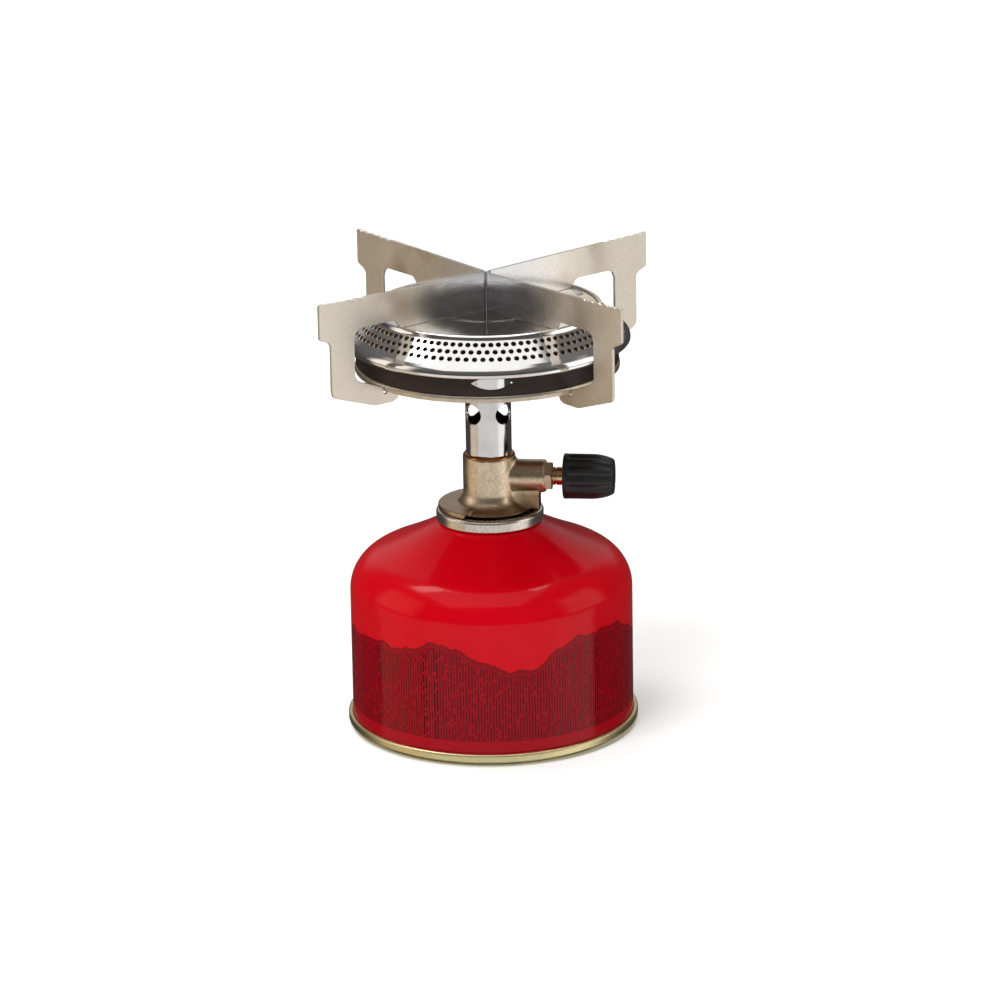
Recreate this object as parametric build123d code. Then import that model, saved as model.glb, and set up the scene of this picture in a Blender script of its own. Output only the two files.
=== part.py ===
"""Top-mount gas camping stove, screwed to a small resealable gas cartridge.

Frame: millimetres, +Z up, origin at the middle of the cartridge's bottom rim.
+X runs out along the flame-control spindle. The four pan-support arms lie at
45 degrees to it. The valve is closed and the stove is screwed fully down.
"""
import math
import os

from build123d import *

# Cartridge, a steel can of 90 mm rim diameter
RIM_R = 45.0
RIM_H = 3.9
CAN_R = 43.6
CAN_WALL = 0.5
BASE_SHEET = 0.6
SHOULDER_Z = 43.2
SHOULDER_R = 12.9
SHOULDER_TURN = 67.0
NECK_R = 16.6
NECK_Z = 64.6
CUP_TOP_Z = 68.9
CUP_FLOOR_Z = 60.2
CUP_SHEET = 0.6

# Screw interface of the cartridge, 7/16-28 UNEF
COLLAR_R = 5.5
COLLAR_BORE_R = 4.6
COLLAR_TOP_Z = 69.6
THREAD_GAP = 0.06
STEM_R = 1.4
STEM_TOP_Z = 65.9
GASKET_Z = 64.4
GASKET_H = 1.2
HOUSING_BOTTOM_Z = 50.0

# Valve block
BODY_R = 8.1
BODY_TOP_Z = 85.6
FLANGE_R = 15.9
FLANGE_Z = 69.0
FLANGE_H = 1.6
FLANGE_OPEN_FROM = -114.0
FLANGE_OPEN_TO = 100.0
SOCKET_R = 8.7
SOCKET_BOTTOM_Z = 62.2
SPINDLE_Z = 78.9
BOSS_R = 5.1
BOSS_END_X = 17.3
BOSS_FILLET = 1.3
WEB_WIDTH = 7.0
WEB_END_X = 15.8

# Gas inlet, ways and jet inside the block
SOCKET_TOP_Z = 70.2
NIPPLE_HEAD_R = 4.8
NIPPLE_NECK_R = 4.2
NIPPLE_TOP_Z = 71.58
NIPPLE_WAY_R = 0.6
NIPPLE_WAY_AT = 2.2
PIN_R = 0.8
SEAL_Z = 68.15
SEAL_MIDDLE_R = 4.07
SEAL_WIRE_R = 0.46
FILTER_R = 3.35
FILTER_TOP_Z = 72.1
GAS_WAY_X = 2.5
GAS_WAY_R = 0.8
SEAT_X = 3.2
SEAT_BORE_R = 0.9
RISER_R = 1.2
JET_FOOT_Z = 81.0
JET_THREAD_R = 2.45
JET_HEX_R = 3.6
JET_NOSE_R = 2.2
JET_TIP_R = 1.2
JET_DRILL_R = 0.9
ORIFICE_R = 0.16

# Spindle and knob
SPINDLE_BORE_R = 2.45
SPINDLE_COLLAR_R = 2.8
NEEDLE_R = 0.95
SPINDLE_FRONT_R = 1.6
SPINDLE_NECK_R = 1.42
SPINDLE_SHAFT_R = 2.04
SPINDLE_TAIL_R = 1.9
SEAL_X = 14.4
COLLAR_GAP = 0.35
NUT_END_X = 19.4
KNOB_X = 22.9
KNOB_LENGTH = 15.6
KNOB_R = 7.0
KNOB_END_R = 5.7
KNOB_FLUTES = 12

# Burner tube
TUBE_R = 7.05
TUBE_WALL = 0.6
TUBE_FOOT_Z = 84.2
AIR_HOLE_R = 3.1
AIR_HOLE_Z = 99.6
AIR_HOLE_TURN = -39.0
SLIP = 0.04

# Burner head
PLATE_R = 40.4
PLATE_TOP_Z = 115.9
PLATE_SHEET = 0.9
PLATE_LIP_Z = 113.7
PLATE_HOLE_R = 35.2
SKIRT_R = 40.1
SKIRT_WALL = 0.7
PAN_Z = 122.6
PAN_SHEET = 0.6
PAN_EDGE_GAP = 0.25
CAP_SHEET = 0.5
CAP_TOP_Z = 132.1
BEAD_R = 34.6
BEAD_RISE = 0.85
SLOPE_R = 35.6
SLOPE_Z = 131.5
CREASE_R = 42.3
CREASE_Z = 125.5
CAP_R = 43.7
CAP_ROLL_R = 3.3
CAP_RIM_Z = 122.65
CAP_LIP_Z = 121.9
DISH_INNER_R = 12.9
DISH_OUTER_R = 17.3
DISH_DEPTH = 0.6
WINDOW_LENGTH = 12.8
WINDOW_HEIGHT = 4.0
WINDOW_Z = 119.6
WINDOW_TURN = -82.0
PORT_R = 0.75
PORTS_PER_ROW = 101
PORT_ROWS = (0.15, 0.435, 0.72)

# Pan supports, two bent sheets with two arms each
ARM_SHEET = 1.0
BEND_R = 2.2
ARM_TIP_R = 63.9
ARM_TIP_Z = 144.7
ARM_MIDDLE_Z = 143.4
LEG_OUTER_R = 59.8
LEG_INNER_R = 51.1
TAB_Z = 133.7
TAB_STEP_Z = 132.3
CUTOUT_TOP_Z = 134.9
CUTOUT_R = 35.1
CONTACT_GAP = 0.04
LIP_SLOT_GAP = 0.15
DISH_EASE = 0.05
FOOT_Z = 109.9
TOOTH_PITCH = 3.4
TOOTH_DEPTH = 0.45
TEETH = 5


def ring(outer, inner, bottom, top):
    """A plain tube about Z between two heights."""
    height = top - bottom
    tube = Cylinder(outer, height) - Cylinder(inner, height)
    return Pos(0, 0, (bottom + top) / 2) * tube


def disc(radius, bottom, top):
    """A plain cylinder about Z between two heights."""
    return Pos(0, 0, (bottom + top) / 2) * Cylinder(radius, top - bottom)


def along_x(radius, start, end):
    """A cylinder on the spindle axis between two X places."""
    return Pos((start + end) / 2, 0, SPINDLE_Z) * Rot(0, 90, 0) * Cylinder(radius, end - start)


def spin(wire):
    """Turns a closed outline in the XZ plane about Z."""
    return revolve(make_face(wire), Axis.Z)


def outline(points):
    """A closed outline of straight lines in the XZ plane, from (radius, height) pairs."""
    return Polyline(*[(r, 0, z) for r, z in points], close=True)


# ---------------------------------------------------------------- cartridge

def can_line(inset):
    """The can's outside line from seam to neck, moved inwards by an inset."""
    wall_r = CAN_R - inset
    arc_r = SHOULDER_R - inset
    turn = math.radians(SHOULDER_TURN)
    middle_r = CAN_R - SHOULDER_R
    start = (wall_r, 0, SHOULDER_Z)
    half = (middle_r + arc_r * math.cos(turn / 2), 0, SHOULDER_Z + arc_r * math.sin(turn / 2))
    end = (middle_r + arc_r * math.cos(turn), 0, SHOULDER_Z + arc_r * math.sin(turn))
    slope = (-math.sin(turn), 0, math.cos(turn))
    neck_r = NECK_R - 1.0
    wall = Line((wall_r, 0, 1.0), start)
    shoulder = ThreePointArc(start, half, end)
    dome = TangentArc(end, (neck_r, 0, NECK_Z + 0.3 - inset), tangent=slope)
    return wall + shoulder + dome


def canister_shell():
    outer = can_line(0)
    inner = can_line(CAN_WALL)
    neck = Line(outer @ 1, inner @ 1)
    foot = Line(outer @ 0, inner @ 0)
    return spin(outer + neck + inner + foot)


def canister_base():
    """Concave bottom with the folded seam that the can stands on."""
    slot_out = CAN_R + 0.02
    slot_in = CAN_R - CAN_WALL - 0.02
    slot_z = 0.9
    leaf_r = slot_in - 1.3
    corner = 0.5
    dome_z = 9.9
    dome_foot_z = 5.3
    start = (RIM_R, 0, RIM_H - corner)
    top_round = TangentArc(start, (RIM_R - corner, 0, RIM_H), tangent=(0, 0, 1))
    inside = Polyline(
        (RIM_R - corner, 0, RIM_H),
        (slot_out, 0, RIM_H),
        (slot_out, 0, slot_z),
        (slot_in, 0, slot_z),
        (slot_in, 0, dome_foot_z),
        (leaf_r + 0.6, 0, dome_foot_z),
    )
    dome_top = TangentArc((0, 0, dome_z), (leaf_r + 0.6, 0, dome_foot_z), tangent=(1, 0, 0))
    axis = Line((0, 0, dome_z), (0, 0, dome_z - BASE_SHEET))
    under_end = (leaf_r, 0, dome_foot_z - BASE_SHEET)
    dome_under = TangentArc((0, 0, dome_z - BASE_SHEET), under_end, tangent=(1, 0, 0))
    inner_leaf = Line(under_end, (leaf_r, 0, corner))
    inner_round = TangentArc((leaf_r, 0, corner), (leaf_r + corner, 0, 0), tangent=(0, 0, -1))
    sole = Line((leaf_r + corner, 0, 0), (RIM_R - corner, 0, 0))
    outer_round = TangentArc((RIM_R - corner, 0, 0), (RIM_R, 0, corner), tangent=(1, 0, 0))
    wall = Line((RIM_R, 0, corner), start)
    return spin(
        top_round + inside + dome_top + axis + dome_under
        + inner_leaf + inner_round + sole + outer_round + wall
    )


def valve_cup():
    """Crimped mounting cup with a rolled edge and the threaded collar drawn up in its middle."""
    roll = 1.1
    wall = NECK_R - 2 * roll
    bottom = outline([
        (NECK_R - 0.4, NECK_Z + 0.5),
        (NECK_R, NECK_Z + 1.3),
        (NECK_R, CUP_TOP_Z - 1.5 * roll),
        (NECK_R - 0.35, CUP_TOP_Z - 0.5),
        (NECK_R - roll, CUP_TOP_Z),
        (NECK_R - 2 * roll + 0.35, CUP_TOP_Z - 0.35),
        (wall, CUP_TOP_Z - roll),
        (wall, CUP_FLOOR_Z + CUP_SHEET),
        (COLLAR_R, CUP_FLOOR_Z + CUP_SHEET),
        (COLLAR_R, COLLAR_TOP_Z - 0.4),
        (COLLAR_R - 0.4, COLLAR_TOP_Z),
        (COLLAR_BORE_R, COLLAR_TOP_Z),
        (COLLAR_BORE_R, CUP_FLOOR_Z),
        (wall + CUP_SHEET, CUP_FLOOR_Z),
        (wall + CUP_SHEET, NECK_Z + 0.5),
    ])
    return spin(bottom)


def cup_gasket():
    """Rubber ring squeezed between the can's neck and the cup."""
    wall = NECK_R - 2.2 + CUP_SHEET
    return ring(NECK_R - 1.1, wall + 0.02, NECK_Z - 1.4, NECK_Z - 0.3)


def valve_housing():
    """Moulded spring housing inside the collar, with a flange under the cup floor."""
    barrel = disc(COLLAR_BORE_R - 0.02, HOUSING_BOTTOM_Z, GASKET_Z)
    flange = ring(7.6, 4.0, CUP_FLOOR_Z - 1.6, CUP_FLOOR_Z - 0.02)
    bore = disc(STEM_R + 0.9, HOUSING_BOTTOM_Z + 1.5, GASKET_Z - 1.6)
    guide = disc(STEM_R + 0.05, GASKET_Z - 2.0, GASKET_Z + 1)
    dip = disc(0.8, HOUSING_BOTTOM_Z - 1, HOUSING_BOTTOM_Z + 2)
    return barrel + flange - bore - guide - dip


def stem_gasket():
    return ring(COLLAR_BORE_R - 0.02, STEM_R + 0.05, GASKET_Z + 0.02, GASKET_Z + GASKET_H)


def valve_stem():
    """Plunger of the cartridge valve, pressed down while the stove is screwed on."""
    rod = disc(STEM_R, 58.6, STEM_TOP_Z)
    head = disc(STEM_R + 0.8, 58.0, 60.2)
    bleed = Pos(0, 0, 64.4) * Rot(0, 90, 0) * Cylinder(0.4, 2 * STEM_R + 1)
    return rod + head - bleed - disc(0.5, 63.6, STEM_TOP_Z + 1)


def valve_spring():
    """Coil spring under the stem."""
    wire = 0.2
    bottom = HOUSING_BOTTOM_Z + 1.5 + wire + 0.02
    length = 58.0 - wire - 0.02 - bottom
    path = Pos(0, 0, bottom) * Helix(pitch=length / 6, height=length, radius=1.7)
    section = Plane(origin=path @ 0, z_dir=path % 0) * Circle(wire)
    return sweep(section, path=path, is_frenet=True)


# -------------------------------------------------------------- valve block

def flange_wing():
    """Rounded hand flange, left out over the open sector at the front and the right."""
    top = FLANGE_Z + FLANGE_H
    wing = disc(FLANGE_R, FLANGE_Z, top)
    wing = chamfer(wing.edges().group_by(Axis.Z)[-1], 0.35)
    reach = 3 * FLANGE_R
    first = math.radians(FLANGE_OPEN_FROM)
    last = math.radians(FLANGE_OPEN_TO)
    middle = (first + last) / 2
    corners = [(0, 0)]
    for angle in (first, (first + middle) / 2, middle, (middle + last) / 2, last):
        corners.append((reach * math.cos(angle), reach * math.sin(angle)))
    wedge = extrude(make_face(Polyline(*corners, close=True)), 4 * FLANGE_H)
    return wing - Pos(0, 0, FLANGE_Z - FLANGE_H) * wedge


def body_column():
    """The upright barrel with its flared foot and the socket that runs into the cup."""
    flare_r = 12.9
    flare_z = 74.6
    side = Line((BODY_R, 0, BODY_TOP_Z), (BODY_R, 0, flare_z))
    flare = TangentArc((BODY_R, 0, flare_z), (flare_r, 0, FLANGE_Z + 0.4), tangent=(0, 0, -1))
    rest = Polyline(
        (flare_r, 0, FLANGE_Z + 0.4),
        (flare_r, 0, FLANGE_Z),
        (SOCKET_R, 0, FLANGE_Z),
        (SOCKET_R, 0, SOCKET_BOTTOM_Z),
        (0, 0, SOCKET_BOTTOM_Z),
        (0, 0, BODY_TOP_Z),
        (BODY_R, 0, BODY_TOP_Z),
    )
    return spin(side + flare + rest)


def boss_web():
    """Cast web, narrower than the boss, that carries it on the flange."""
    web = Pos(WEB_END_X / 2, 0, (FLANGE_Z + SPINDLE_Z) / 2) * Box(WEB_END_X, WEB_WIDTH, SPINDLE_Z - FLANGE_Z)
    return web & disc(WEB_END_X, FLANGE_Z, SPINDLE_Z)


def valve_body():
    column = body_column() + along_x(BOSS_R, 0, BOSS_END_X)
    joint = column.edges().filter_by_position(Axis.X, BODY_R - 3.0, BODY_R)
    joint = joint.filter_by_position(Axis.Z, SPINDLE_Z - BOSS_R - 0.1, SPINDLE_Z + BOSS_R + 0.1)
    column = fillet(joint, BOSS_FILLET)
    body = column + flange_wing() + boss_web()
    past = 1.0
    body = body - disc(COLLAR_R + THREAD_GAP, SOCKET_BOTTOM_Z - past, SOCKET_TOP_Z)
    body = body - disc(NIPPLE_HEAD_R + 0.05, SOCKET_TOP_Z - past, NIPPLE_TOP_Z + 0.02)
    body = body - disc(FILTER_R + 0.05, NIPPLE_TOP_Z, FILTER_TOP_Z + 0.3)
    body = body - Pos(GAS_WAY_X, 0, 0) * disc(GAS_WAY_R, FILTER_TOP_Z, SPINDLE_Z)
    body = body - along_x(SPINDLE_BORE_R, SEAT_X, BOSS_END_X + past)
    body = body - along_x(SEAT_BORE_R, 0, SEAT_X + past)
    body = body - disc(RISER_R, SPINDLE_Z, JET_FOOT_Z + past)
    body = body - disc(JET_THREAD_R + 0.05, JET_FOOT_Z - 0.4, BODY_TOP_Z + past)
    body = body - disc(TUBE_R + SLIP, TUBE_FOOT_Z, BODY_TOP_Z + past)
    lead_in = 0.7
    chamfer_cone = Cone(COLLAR_R + lead_in, COLLAR_R, lead_in, align=(Align.CENTER, Align.CENTER, Align.MIN))
    return body - Pos(0, 0, SOCKET_BOTTOM_Z) * chamfer_cone


def inlet_nipple():
    """Brass nipple screwed up into the block; its pin opens the cartridge valve."""
    neck_end_z = 66.6
    head_foot_z = SOCKET_TOP_Z + 0.05
    head = disc(NIPPLE_HEAD_R, head_foot_z, NIPPLE_TOP_Z)
    neck = disc(NIPPLE_NECK_R, neck_end_z, head_foot_z)
    groove = ring(NIPPLE_NECK_R + 1, SEAL_MIDDLE_R - SEAL_WIRE_R - 0.06, SEAL_Z - 0.55, SEAL_Z + 0.55)
    pin = disc(PIN_R, STEM_TOP_Z + 0.02, neck_end_z + 0.1)
    nipple = head + neck - groove + pin
    for turn in range(4):
        angle = math.radians(45 + 90 * turn)
        way = disc(NIPPLE_WAY_R, neck_end_z - 1, NIPPLE_TOP_Z + 1)
        nipple = nipple - Pos(NIPPLE_WAY_AT * math.cos(angle), NIPPLE_WAY_AT * math.sin(angle), 0) * way
    return nipple


def inlet_seal():
    """O-ring between the nipple and the collar."""
    return Pos(0, 0, SEAL_Z) * Torus(SEAL_MIDDLE_R, SEAL_WIRE_R)


def inlet_filter():
    """Sintered disc above the nipple's gas ways."""
    return disc(FILTER_R, NIPPLE_TOP_Z + 0.04, FILTER_TOP_Z)


def jet():
    """Brass nozzle screwed into the top of the block, inside the burner tube."""
    hex_foot_z = JET_FOOT_Z + 3.3
    hex_height = 2.2
    nose_z = hex_foot_z + hex_height
    nose_length = 3.0
    drill_end_z = nose_z + 1.9
    thread = disc(JET_THREAD_R, JET_FOOT_Z, hex_foot_z)
    hexagon = Pos(0, 0, hex_foot_z) * extrude(RegularPolygon(JET_HEX_R, 6), hex_height)
    nose = Cone(JET_NOSE_R, JET_TIP_R, nose_length, align=(Align.CENTER, Align.CENTER, Align.MIN))
    drill = disc(JET_DRILL_R, JET_FOOT_Z - 1, drill_end_z)
    orifice = disc(ORIFICE_R, drill_end_z - 0.4, nose_z + nose_length + 1)
    return thread + hexagon + Pos(0, 0, nose_z) * nose - drill - orifice


def gland_nut():
    """Hexagon nut that keeps the spindle in the boss."""
    plug = along_x(BOSS_R - 0.4, BOSS_END_X, BOSS_END_X + 0.3)
    hexagon = extrude(RegularPolygon(4.75, 6), NUT_END_X - BOSS_END_X - 0.3)
    hexagon = Pos(BOSS_END_X + 0.3, 0, SPINDLE_Z) * Rot(0, 90, 0) * Rot(0, 0, 12) * hexagon
    rounded = along_x(4.7, BOSS_END_X, NUT_END_X)
    rounded = chamfer(rounded.edges().group_by(Axis.X)[-1], 0.35)
    return (plug + hexagon) & rounded - along_x(2.1, BOSS_END_X - 1, NUT_END_X + 1)


def spindle_seal():
    """O-ring on the spindle, kept in the boss bore."""
    middle_r = SPINDLE_NECK_R + SEAL_WIRE_R + 0.05
    return Pos(SEAL_X, 0, SPINDLE_Z) * Rot(0, 90, 0) * Torus(middle_r, SEAL_WIRE_R)


def spindle():
    """Brass spindle: needle, thread, seal groove, visible collar and knob end."""
    needle_x = SEAT_X + 0.1
    stub_end = needle_x + 1.3
    thread_start = stub_end + 2.4
    neck_start = SEAL_X - 1
    neck_end = SEAL_X + 1
    collar_start = NUT_END_X + COLLAR_GAP
    collar_end = KNOB_X + 1.2
    tail_end = KNOB_X + 9.5
    needle = Cone(NEEDLE_R, 0.3, 2.2, align=(Align.CENTER, Align.CENTER, Align.MIN))
    needle = Pos(needle_x, 0, SPINDLE_Z) * Rot(0, -90, 0) * needle
    stub = along_x(NEEDLE_R, needle_x, stub_end)
    front = along_x(SPINDLE_FRONT_R, stub_end, thread_start)
    thread = along_x(SPINDLE_BORE_R - 0.05, thread_start, neck_start)
    neck = along_x(SPINDLE_NECK_R, neck_start, neck_end)
    shaft = along_x(SPINDLE_SHAFT_R, neck_end, collar_start)
    collar = along_x(SPINDLE_COLLAR_R, collar_start, collar_end)
    tail = along_x(SPINDLE_TAIL_R, collar_end, tail_end)
    flat = Pos(KNOB_X + 6.2, 0, SPINDLE_Z + 2.3) * Box(10.0, 6, 1.8)
    hole = along_x(0.95, KNOB_X + 4.5, tail_end + 0.5)
    return needle + stub + front + thread + neck + shaft + collar + (tail - flat) - hole


def knob():
    """Fluted moulded knob with a bore for the spindle and a recess for the screw head."""
    end = KNOB_X + KNOB_LENGTH
    straight = 8.6
    corner = 1.3
    base = Line((KNOB_X, 0), (KNOB_X, KNOB_R - 0.4))
    edge = Line((KNOB_X, KNOB_R - 0.4), (KNOB_X + 0.4, KNOB_R))
    side = Line((KNOB_X + 0.4, KNOB_R), (KNOB_X + straight, KNOB_R))
    shoulder = TangentArc((KNOB_X + straight, KNOB_R), (end - corner / 2, KNOB_END_R), tangent=(1, 0))
    nose = ThreePointArc(
        (end - corner / 2, KNOB_END_R),
        (end - 0.15, KNOB_END_R - 0.35),
        (end, KNOB_END_R - corner),
    )
    rest = Polyline((end, KNOB_END_R - corner), (end, 0), (KNOB_X, 0))
    profile = make_face(base + edge + side + shoulder + nose + rest)
    body = Pos(0, 0, SPINDLE_Z) * revolve(profile, Axis.X)
    flute_r = 1.5
    depth = 0.42
    for index in range(KNOB_FLUTES):
        angle = 2 * math.pi * (index + 0.5) / KNOB_FLUTES
        reach = KNOB_R + flute_r - depth
        place = Pos(0, reach * math.sin(angle), reach * math.cos(angle))
        body = body - place * along_x(flute_r, KNOB_X + 1.6, end + 1)
    bore = along_x(SPINDLE_COLLAR_R + 0.03, KNOB_X - 1, KNOB_X + 1.22)
    tail = along_x(1.93, KNOB_X, KNOB_X + 9.6)
    screw_way = along_x(1.05, KNOB_X + 9, end)
    recess = along_x(2.6, end - 3.2, end + 1)
    return body - bore - tail - screw_way - recess


def knob_screw():
    """Cross-head screw that holds the knob on the spindle."""
    end = KNOB_X + KNOB_LENGTH
    head = along_x(2.3, end - 3.18, end - 1.5)
    head = fillet(head.edges().group_by(Axis.X)[-1], 0.5)
    shank = along_x(0.92, KNOB_X + 5.0, end - 3.18)
    slot = Pos(end - 1.6, 0, SPINDLE_Z) * Box(1.3, 0.6, 2.8)
    cross = Pos(end - 1.6, 0, SPINDLE_Z) * Box(1.3, 2.8, 0.6)
    return head + shank - slot - cross


# ------------------------------------------------------------- burner tube

def burner_tube():
    """Mixing tube with four air holes below the burner head."""
    tube = ring(TUBE_R, TUBE_R - TUBE_WALL, TUBE_FOOT_Z + 0.02, PAN_Z + 1.0)
    for turn in range(2):
        drill = Rot(0, 0, AIR_HOLE_TURN + 90 * turn) * Rot(0, 90, 0) * Cylinder(AIR_HOLE_R, 4 * TUBE_R)
        tube = tube - Pos(0, 0, AIR_HOLE_Z) * drill
    return tube


def brazing_ring():
    """Copper fillet where the tube enters the block."""
    inner = TUBE_R + SLIP
    section = outline([
        (inner, BODY_TOP_Z + 0.02),
        (BODY_R - 0.05, BODY_TOP_Z + 0.02),
        (BODY_R - 0.15, BODY_TOP_Z + 0.4),
        (inner + 0.35, BODY_TOP_Z + 1.0),
        (inner, BODY_TOP_Z + 1.2),
    ])
    return spin(section)


# ------------------------------------------------------------- burner head

def base_plate():
    """Pressed ring with a turned-down lip that the pan supports clip on."""
    bend = 0.9
    hole = PLATE_HOLE_R
    top = Line((hole, 0, PLATE_TOP_Z), (PLATE_R - bend, 0, PLATE_TOP_Z))
    outer_bend = TangentArc(
        (PLATE_R - bend, 0, PLATE_TOP_Z), (PLATE_R, 0, PLATE_TOP_Z - bend), tangent=(1, 0, 0)
    )
    rest = Polyline(
        (PLATE_R, 0, PLATE_TOP_Z - bend),
        (PLATE_R, 0, PLATE_LIP_Z),
        (PLATE_R - PLATE_SHEET, 0, PLATE_LIP_Z),
        (PLATE_R - PLATE_SHEET, 0, PLATE_TOP_Z - PLATE_SHEET),
        (hole, 0, PLATE_TOP_Z - PLATE_SHEET),
        (hole, 0, PLATE_TOP_Z),
    )
    return spin(top + outer_bend + rest)


def skirt():
    """Dark wall between the plate and the burner, with four lens-shaped air windows."""
    wall = ring(SKIRT_R, SKIRT_R - SKIRT_WALL, PLATE_TOP_Z + 0.02, PAN_Z - 0.02)
    half = WINDOW_LENGTH / 2
    rise = WINDOW_HEIGHT / 2
    upper = ThreePointArc((-half, 0), (0, rise), (half, 0))
    lower = ThreePointArc((half, 0), (0, -rise), (-half, 0))
    lens = make_face(upper + lower)
    lens = extrude(Plane.YZ * lens, 2 * SKIRT_R)
    for turn in range(4):
        wall = wall - Pos(0, 0, WINDOW_Z) * Rot(0, 0, WINDOW_TURN + 90 * turn) * lens
    return wall


def burner_pan():
    """Floor of the gas chamber, clinched into the cap's rim and swaged to the tube."""
    hole = TUBE_R + SLIP
    edge = CAP_R - CAP_SHEET - PAN_EDGE_GAP
    section = outline([
        (hole, PAN_Z),
        (edge, PAN_Z),
        (edge, PAN_Z + PAN_SHEET),
        (hole + 1.2, PAN_Z + PAN_SHEET),
        (hole + 1.2, PAN_Z + 2.2),
        (hole, PAN_Z + 2.2),
    ])
    return spin(section)


def cap_outside():
    """The cap's outside line in XZ, from the middle to the rolled-under lip."""
    dish = Polyline(
        (0, 0, CAP_TOP_Z - DISH_DEPTH),
        (DISH_INNER_R, 0, CAP_TOP_Z - DISH_DEPTH),
        (DISH_OUTER_R, 0, CAP_TOP_Z),
        (BEAD_R - 0.9, 0, CAP_TOP_Z),
    )
    shoulder = (BEAD_R + 0.8, 0, CAP_TOP_Z + 0.2)
    bead = ThreePointArc((BEAD_R - 0.9, 0, CAP_TOP_Z), (BEAD_R, 0, CAP_TOP_Z + BEAD_RISE), shoulder)
    step = Line(shoulder, (SLOPE_R, 0, SLOPE_Z))
    slope = Line((SLOPE_R, 0, SLOPE_Z), (CREASE_R, 0, CREASE_Z))
    roll_middle = CAP_R - CAP_ROLL_R
    roll_start = math.radians(40)
    roll_half = roll_start / 2
    start = (
        roll_middle + CAP_ROLL_R * math.cos(roll_start), 0, CAP_RIM_Z + CAP_ROLL_R * math.sin(roll_start)
    )
    half = (roll_middle + CAP_ROLL_R * math.cos(roll_half), 0, CAP_RIM_Z + CAP_ROLL_R * math.sin(roll_half))
    flank = Line((CREASE_R, 0, CREASE_Z), start)
    roll = ThreePointArc(start, half, (CAP_R, 0, CAP_RIM_Z))
    drop = CAP_RIM_Z - CAP_LIP_Z
    under = TangentArc((CAP_R, 0, CAP_RIM_Z), (CAP_R - drop, 0, CAP_LIP_Z), tangent=(0, 0, -1))
    return dish, bead, step, slope, flank, roll + under


def burner_cap():
    """Pressed cap with three staggered rows of flame ports in its sloping band."""
    dish, bead, step, slope, flank, roll = cap_outside()
    t = CAP_SHEET
    outer = dish + bead + step + slope + flank + roll
    inner = Polyline(
        (CAP_R - CAP_RIM_Z + CAP_LIP_Z, 0, CAP_LIP_Z),
        (CAP_R - 1.1, 0, CAP_LIP_Z + 0.2),
        (CAP_R - t - 0.05, 0, CAP_RIM_Z + 0.05),
        (CAP_R - t - 0.2, 0, CAP_RIM_Z + 1.05),
        (CAP_R - t - 0.7, 0, CAP_RIM_Z + 1.85),
        (CREASE_R - 0.4, 0, CREASE_Z - 0.3),
        (SLOPE_R - 0.4, 0, SLOPE_Z - 0.3),
        (BEAD_R, 0, CAP_TOP_Z - 0.1),
        (BEAD_R - 1.2, 0, CAP_TOP_Z - t),
        (DISH_OUTER_R - 0.05, 0, CAP_TOP_Z - t),
        (DISH_INNER_R - 0.05, 0, CAP_TOP_Z - DISH_DEPTH - t),
        (0, 0, CAP_TOP_Z - DISH_DEPTH - t),
        (0, 0, CAP_TOP_Z - DISH_DEPTH),
    )
    cap = spin(outer + inner)
    start = slope @ 0
    along = slope % 0
    tilt = math.degrees(math.atan2(along.X, -along.Z))
    drills = []
    for row, share in enumerate(PORT_ROWS):
        place = start + (slope @ 1 - start) * share
        for index in range(PORTS_PER_ROW):
            turn = 360 * (index + 0.5 * (row % 2)) / PORTS_PER_ROW
            drill = Pos(place.X, 0, place.Z) * Rot(0, 90 - tilt, 0) * Cylinder(PORT_R, 2.4)
            drills.append(Rot(0, 0, turn) * drill)
    return cap - drills


# ------------------------------------------------------------ pan supports

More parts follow.
